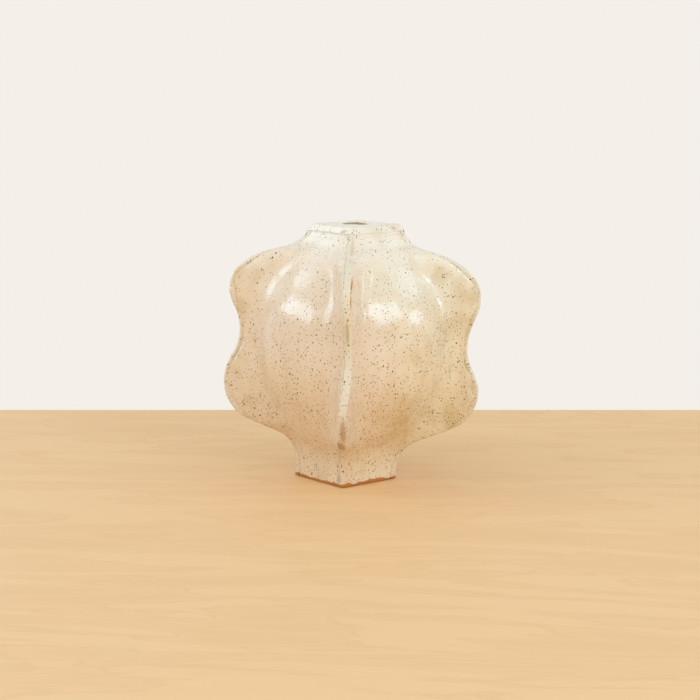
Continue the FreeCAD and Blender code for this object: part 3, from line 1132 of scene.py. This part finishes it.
@dataclass
class GlazedSlab:
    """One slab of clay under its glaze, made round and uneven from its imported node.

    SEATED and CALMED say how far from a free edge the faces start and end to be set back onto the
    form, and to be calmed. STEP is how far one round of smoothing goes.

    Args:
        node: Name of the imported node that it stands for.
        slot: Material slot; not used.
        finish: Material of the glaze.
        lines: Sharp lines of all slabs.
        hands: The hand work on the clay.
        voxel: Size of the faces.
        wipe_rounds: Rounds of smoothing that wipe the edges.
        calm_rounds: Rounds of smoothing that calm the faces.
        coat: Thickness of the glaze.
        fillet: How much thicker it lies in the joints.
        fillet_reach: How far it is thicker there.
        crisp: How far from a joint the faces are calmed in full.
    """

    node: str
    slot: Slot
    finish: bpy.types.Material
    lines: SeamLines
    hands: HandWork
    voxel: float = 1.15 * MM
    wipe_rounds: int = 7
    calm_rounds: int = 40
    coat: float = 0.2 * MM
    fillet: float = 0.45 * MM
    fillet_reach: float = 2.0 * MM
    crisp: float = 3.0 * MM
    edges: np.ndarray = field(init=False, repr=False)

    STEP = 0.5
    SEATED = (1.0 * MM, 3.2 * MM)
    CALMED = (1.8 * MM, 4.0 * MM)
    CRISP_SHARE = 0.2

    def build(self, packed: bpy.types.Object) -> bpy.types.Object:
        """Builds the piece and lets it stand for its node.

        Args:
            packed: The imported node's object.

        Returns:
            The glazed piece.
        """
        piece = self.remeshed(packed)
        mesh = piece.data
        points = np.empty(len(mesh.vertices) * 3)
        mesh.vertices.foreach_get("co", points)
        points = points.reshape(-1, 3)
        pairs = np.empty(len(mesh.edges) * 2, dtype=np.int64)
        mesh.edges.foreach_get("vertices", pairs)
        self.edges = pairs.reshape(-1, 2)
        points = self.wiped(points, packed)
        self.carry(mesh, points)
        points = self.hands.worked(points)
        mesh.vertices.foreach_set("co", points.astype(np.float32).ravel())
        mesh.polygons.foreach_set("use_smooth", [True] * len(mesh.polygons))
        mesh.update()
        mesh.materials.clear()
        mesh.materials.append(self.finish)
        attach(piece, BODY)
        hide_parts(self.node)
        return piece

    def remeshed(self, packed: bpy.types.Object) -> bpy.types.Object:
        """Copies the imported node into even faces.

        Args:
            packed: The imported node's object.

        Returns:
            A new object with even faces on the same form.
        """
        shape = welded(packed.data)
        mesh = bpy.data.meshes.new("glazed_" + self.node)
        shape.to_mesh(mesh)
        shape.free()
        piece = linked("glazed_" + self.node, mesh)
        remesh = piece.modifiers.new("even_faces", "REMESH")
        remesh.mode = "VOXEL"
        remesh.voxel_size = self.voxel
        shown = piece.evaluated_get(bpy.context.evaluated_depsgraph_get())
        even = bpy.data.meshes.new_from_object(shown)
        piece.modifiers.clear()
        piece.data = even
        even.name = "glazed_" + self.node
        bpy.data.meshes.remove(mesh)
        return piece

    def wiped(self, points: np.ndarray, packed: bpy.types.Object) -> np.ndarray:
        """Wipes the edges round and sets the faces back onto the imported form, under their coat.

        Args:
            points: Vertices of the even faces.
            packed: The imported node's object.

        Returns:
            The finished vertices.
        """
        free = self.lines.free[self.node]
        away = np.array([free.find(Vector(p))[2] for p in points])
        for _ in range(self.wipe_rounds):
            points = points + self.STEP * (self.mean(points) - points)
        form = tree_of(packed)
        seated, joint = np.empty_like(points), np.empty(len(points))
        for number, point in enumerate(points):
            place, normal, _, _ = form.find_nearest(Vector(point))
            joint[number] = self.lines.joint_tree.find(place)[2]
            filled = self.fillet * math.exp(-(joint[number] / self.fillet_reach) ** 2)
            seated[number] = place + normal * (self.coat + filled)
        seat = eased(away, *self.SEATED)[:, None]
        points = points + seat * (seated - points)
        calm = eased(away, *self.CALMED) * eased(joint, self.CRISP_SHARE * self.crisp, self.crisp)
        for _ in range(self.calm_rounds):
            points = points + self.STEP * calm[:, None] * (self.mean(points) - points)
        return points

    def mean(self, points: np.ndarray) -> np.ndarray:
        """Gives the mean of each vertex's neighbours.

        Args:
            points: The vertices.

        Returns:
            One mean for each vertex.
        """
        first, second = self.edges[:, 0], self.edges[:, 1]
        size = len(points)
        count = np.bincount(first, minlength=size) + np.bincount(second, minlength=size)
        total = np.empty_like(points)
        for axis in range(3):
            total[:, axis] = (np.bincount(first, points[second, axis], size)
                              + np.bincount(second, points[first, axis], size))
        return total / count[:, None]

    def carry(self, mesh: bpy.types.Mesh, points: np.ndarray) -> None:
        """Stores each vertex's distance from the nearest ridge and joint, in millimetres.

        Args:
            mesh: The piece's mesh.
            points: Its vertices.
        """
        trees = {"ridge_mm": self.lines.ridge_tree, "joint_mm": self.lines.joint_tree}
        for name, tree in trees.items():
            values = np.array([tree.find(Vector(p))[2] for p in points], dtype=np.float32) / MM
            store = mesh.attributes.new(name, "FLOAT", "POINT")
            store.data.foreach_set("value", values)


@dataclass(frozen=True)
class Table:
    """A plain pale table top that ends some way behind the vase.

    Args:
        turn: How far it is turned in plan, in degrees.
        back: Where it ends, behind the vase.
        reach: How far it goes to the sides and to the front.
        gap: How far it lies below the foot, so that their faces don't fall together.
        colour: Its colour in linear light.
        grain: Colour of its grain.
        roughness: Its roughness.
    """

    turn: float = 4.0
    back: float = 286 * MM
    reach: float = 4.0
    gap: float = 0.02 * MM
    colour: Colour = linear(243, 207, 156)
    grain: Colour = linear(226, 178, 122)
    roughness: float = 0.6

    STRETCH = (3.4, 17.0, 1.0)
    LINE_WIDTH, LINE_SHARE = 0.03, 0.2
    BAND, BAND_SHARE = (0.4, 0.7), 0.25

    def build(self) -> bpy.types.Object:
        """Builds the table top and marks it as stage.

        Returns:
            The table top.
        """
        under = -self.gap
        corners = [(-self.reach, -self.reach, under), (self.reach, -self.reach, under),
                   (self.reach, self.back, under), (-self.reach, self.back, under)]
        mesh = bpy.data.meshes.new("table_top")
        mesh.from_pydata(corners, [], [(0, 1, 2, 3)])
        mesh.transform(Matrix.Rotation(math.radians(self.turn), 4, "Z"))
        top = linked("table_top", mesh)
        mesh.materials.append(self.top_finish())
        top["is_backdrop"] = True
        return top

    def top_finish(self) -> bpy.types.Material:
        """Builds the material of the table top.

        Returns:
            The material, with faint grain from side to side.
        """
        material, wiring, inputs = started("pale_table")
        along = wiring.vector("MULTIPLY", {0: wiring.place(), 1: self.STRETCH})
        bands = wiring.node("ShaderNodeTexNoise", {"Vector": along, "Scale": 1.0, "Detail": 4.0,
                                                   "Distortion": 1.6}).outputs[0]
        middle = wiring.calc("ABSOLUTE", wiring.calc("SUBTRACT", bands, 0.5))
        lines = wiring.times(wiring.rise(middle, self.LINE_WIDTH, 0.0), self.LINE_SHARE)
        broad = wiring.times(wiring.rise(bands, *self.BAND), self.BAND_SHARE)
        share = wiring.calc("ADD", lines, broad)
        wiring.feed(inputs["Base Color"], wiring.blend(share, self.colour, self.grain))
        inputs["Roughness"].default_value = self.roughness
        return material


@dataclass(frozen=True)
class Pane:
    """One upright pane of soft light, given by the directions that it fills as seen from the vase.

    Args:
        name: Name of the lamp.
        turn: Direction of its middle in plan, in degrees from +X towards +Y.
        half_turn: Half the angle that it fills in plan.
        low: Elevation of its lower edge, in degrees.
        high: Elevation of its upper edge, in degrees.
        radiance: Its brightness, where 1 is white.
        light: What it is for.
        colour: Its colour in linear light.
        distance: How far off it stands.
    """

    name: str
    turn: float
    half_turn: float
    low: float
    high: float
    radiance: float
    light: Light
    colour: Colour = (1.0, 1.0, 1.0)
    distance: float = 1.6

    def build(self, aim: float) -> bpy.types.Object:
        """Builds the lamp.

        Args:
            aim: Height on the vase from which the directions are taken.

        Returns:
            The lamp's object.
        """
        width = 2.0 * self.distance * math.tan(math.radians(self.half_turn))
        bottom = aim + self.distance * math.tan(math.radians(self.low))
        top = aim + self.distance * math.tan(math.radians(self.high))
        light = bpy.data.lights.new(self.name, "AREA")
        light.shape = "RECTANGLE"
        light.size, light.size_y = width, top - bottom
        light.color = self.colour
        light.energy = self.radiance * math.pi * width * (top - bottom)
        lamp = linked(self.name, light)
        turn = math.radians(self.turn)
        outward = Vector((math.cos(turn), math.sin(turn), 0.0))
        lamp.location = outward * self.distance + Vector((0.0, 0.0, (bottom + top) / 2.0))
        lamp.rotation_euler = outward.to_track_quat("Z", "Y").to_euler()
        lamp.visible_camera = False
        lamp.visible_diffuse = self.light is Light.SOFT
        lamp.visible_glossy = self.light is Light.REFLECTION
        return lamp


@dataclass(frozen=True)
class Room:
    """Pale room round the table.

    Args:
        wall: Colour that the camera and the glaze see.
        light: Colour of the room's own soft light.
        fill: Strength of that light.
    """

    wall: Colour = linear(244, 239, 233)
    light: Colour = linear(250, 248, 244)
    fill: float = 0.74

    def build(self) -> None:
        """Builds the world."""
        world = bpy.data.worlds.new("pale_room")
        bpy.context.scene.world = world
        world.use_nodes = True
        wiring = Wiring(world.node_tree)
        wiring.tree.nodes.clear()
        path = wiring.node("ShaderNodeLightPath").outputs
        seen = wiring.largest([path["Is Camera Ray"], path["Is Glossy Ray"],
                               path["Is Transmission Ray"]])
        soft = wiring.node("ShaderNodeBackground", {"Color": self.light, "Strength": self.fill})
        plain = wiring.node("ShaderNodeBackground", {"Color": self.wall, "Strength": 1.0})
        both = wiring.node("ShaderNodeMixShader",
                           {0: seen, 1: soft.outputs[0], 2: plain.outputs[0]})
        wiring.node("ShaderNodeOutputWorld", {"Surface": both.outputs[0]})


@dataclass(frozen=True)
class PhotoCamera:
    """Camera at the photograph's viewing angle.

    Args:
        turn: Its direction from the vase, from -Y towards +X, in degrees.
        pitch: How far it looks down, in degrees.
        distance: Its distance in plan.
        height: Its height above the table.
        aside: Its shift to its own right.
        lens: Focal length in millimetres.
        sensor: Sensor width in millimetres.
    """

    turn: float = 4.0
    pitch: float = 9.95
    distance: float = 1455 * MM
    height: float = 371 * MM
    aside: float = 4.26 * MM
    lens: float = 84.857
    sensor: float = 36.0

    def build(self) -> bpy.types.Object:
        """Builds the camera and makes it the scene's own.

        Returns:
            The camera's object.
        """
        turn, pitch = math.radians(self.turn), math.radians(self.pitch)
        right = Vector((math.cos(turn), math.sin(turn), 0.0))
        level = Vector((-math.sin(turn), math.cos(turn), 0.0))
        ahead = level * math.cos(pitch) - Vector((0.0, 0.0, math.sin(pitch)))
        above = right.cross(ahead)
        data = bpy.data.cameras.new("photo_camera")
        data.lens, data.sensor_width = self.lens, self.sensor
        camera = linked("photo_camera", data)
        place = right * self.aside - level * self.distance + Vector((0.0, 0.0, self.height))
        turned = Matrix((right, above, -ahead)).transposed().to_4x4()
        camera.matrix_world = Matrix.Translation(place) @ turned
        bpy.context.scene.camera = camera
        return camera


WALL_NODES = ("front_right_wall", "back_right_wall", "back_left_wall", "front_left_wall")
CLAY_NODES = ("foot_slab", "foot_coil", "front_seam_coil", "right_seam_coil", "back_seam_coil",
              "left_seam_coil")
DAYLIGHT = (0.5, 0.78, 1.0)
PANES = (Pane("left_window", 189.0, 25.0, 12.0, 29.0, 5.6, Light.REFLECTION, DAYLIGHT),
         Pane("left_far_window", 136.0, 7.0, -1.0, 15.0, 5.2, Light.REFLECTION, DAYLIGHT),
         Pane("left_sheen", 150.0, 15.0, 31.0, 46.0, 3.0, Light.REFLECTION, DAYLIGHT),
         Pane("right_window", -28.0, 17.0, 24.0, 43.0, 7.4, Light.REFLECTION, DAYLIGHT),
         Pane("right_middle_window", 2.0, 8.0, 11.0, 20.0, 7.4, Light.REFLECTION, DAYLIGHT),
         Pane("right_far_window", 38.0, 5.0, 5.0, 18.0, 7.0, Light.REFLECTION, DAYLIGHT),
         Pane("right_sheen", 24.0, 15.0, 28.0, 44.0, 2.6, Light.REFLECTION, DAYLIGHT),
         Pane("left_soft", 200.0, 30.0, 20.0, 50.0, 1.1, Light.SOFT),
         Pane("right_soft", -28.0, 30.0, 20.0, 50.0, 0.5, Light.SOFT),
         Pane("front_soft", -60.0, 35.0, 5.0, 40.0, 1.0, Light.SOFT))
PANE_AIM = 160 * MM

RUST = linear(204, 134, 34)
OLIVE = linear(168, 142, 92)
UMBER = linear(170, 122, 66)
BISCUIT = linear(204, 164, 116)
SMEAR = linear(214, 184, 148)
SEAM_MARKS = (
    SeamMark(Seam.FRONT, 188.0, 18.0, 3.4, 1.4, RUST, 1.0, 0.4),
    SeamMark(Seam.FRONT, 175.0, 18.0, 3.2, 1.0, RUST, 1.0, 0.4),
    SeamMark(Seam.FRONT, 160.0, 2.6, 2.2, -2.2, UMBER, 1.0),
    SeamMark(Seam.FRONT, 148.0, 28.0, 3.6, -3.0, OLIVE, 0.5),
    SeamMark(Seam.FRONT, 65.0, 32.0, 7.0, -2.0, UMBER, 0.58),
    SeamMark(Seam.FRONT, 46.0, 30.0, 8.5, -3.0, UMBER, 0.58),
    SeamMark(Seam.LEFT, 220.0, 9.0, 2.6, 1.8, UMBER, 0.9),
    SeamMark(Seam.FRONT, 8.0, 13.0, 5.5, -3.5, OLIVE, 0.5),
    SeamMark(Seam.FRONT, 211.0, 32.0, 4.6, -1.2, SMEAR, 0.45),
    SeamMark(Seam.RIGHT, 163.0, 13.0, 2.2, 0.0, RUST, 0.9),
    SeamMark(Seam.RIGHT, 82.0, 8.0, 2.0, 0.0, RUST, 0.8),
    SeamMark(Seam.BACK, 176.0, 13.0, 2.2, 0.0, RUST, 0.9),
    SeamMark(Seam.BACK, 74.0, 10.0, 2.4, 0.0, RUST, 0.7),
    SeamMark(Seam.LEFT, 92.0, 9.0, 2.0, 0.0, RUST, 0.7),
)
RIM_MARKS = (
    Mark(Vector((-0.5, -33.0, 225.2)) * MM, Vector((7.5, 3.4, 2.4)) * MM, BISCUIT, 0.6),
    Mark(Vector((43.0, -9.0, 226.4)) * MM, Vector((3.4, 4.4, 2.2)) * MM, BISCUIT, 0.7),
)
# Painted shade inside the mouth.
MOUTH_SHADE = linear(172, 150, 122)
MOUTH_REACH = Vector((12.7, 12.7, 60.0)) * MM
BELOW_RIM = 2 * MM
NO_STRIP = -9 * MM


def main() -> None:
    """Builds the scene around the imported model."""
    logging.basicConfig(level=logging.INFO, format="%(name)s: %(message)s")
    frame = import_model()
    nodes = frame["nodes"]
    vase = VaseFrame.measured()

    PhotoCamera().build()
    Room().build()
    Table().build()
    for pane in PANES:
        pane.build(PANE_AIM)
    bpy.context.scene.view_settings.view_transform = "Standard"

    glazed = [nodes[name] for name in (*WALL_NODES, "top_slab")]
    lines = SeamLines(glazed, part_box("top_slab")[0].z - BELOW_RIM)
    LOG.info("found %d ridge points and %d joint points", len(lines.ridge), len(lines.joint))
    hands = HandWork(vase)
    marks = tuple(mark.placed(lines) for mark in SEAM_MARKS)
    # The mouth's mark is painted shade of its dark inside.
    mouth = Mark(Vector((vase.lean, 0.0, vase.height)), MOUTH_REACH, MOUTH_SHADE,
                 ragged=0.0, core=0.9)
    glaze = GlazeFinish("speckled_glaze", marks=marks + RIM_MARKS).build()
    rim = GlazeFinish("rim_glaze", cream=linear(238, 231, 214), tan=linear(228, 214, 186),
                      blush=linear(236, 224, 206), strip=NO_STRIP,
                      marks=(*RIM_MARKS, mouth)).build()
    for name in WALL_NODES:
        piece = GlazedSlab(name, Slot.WALL, glaze, lines, hands).build(nodes[name])
        LOG.info("%s: %d faces", piece.name, len(piece.data.polygons))
    piece = GlazedSlab("top_slab", Slot.RIM, rim, lines, hands, voxel=0.75 * MM,
                       wipe_rounds=12).build(nodes["top_slab"])
    LOG.info("%s: %d faces", piece.name, len(piece.data.polygons))
    clay = BareClayFinish("bare_stoneware").build()
    for name in CLAY_NODES:
        nodes[name].data.materials.clear()
        nodes[name].data.materials.append(clay)
        LOG.info("%s: bare clay", name)


if __name__ == "__main__":
    main()
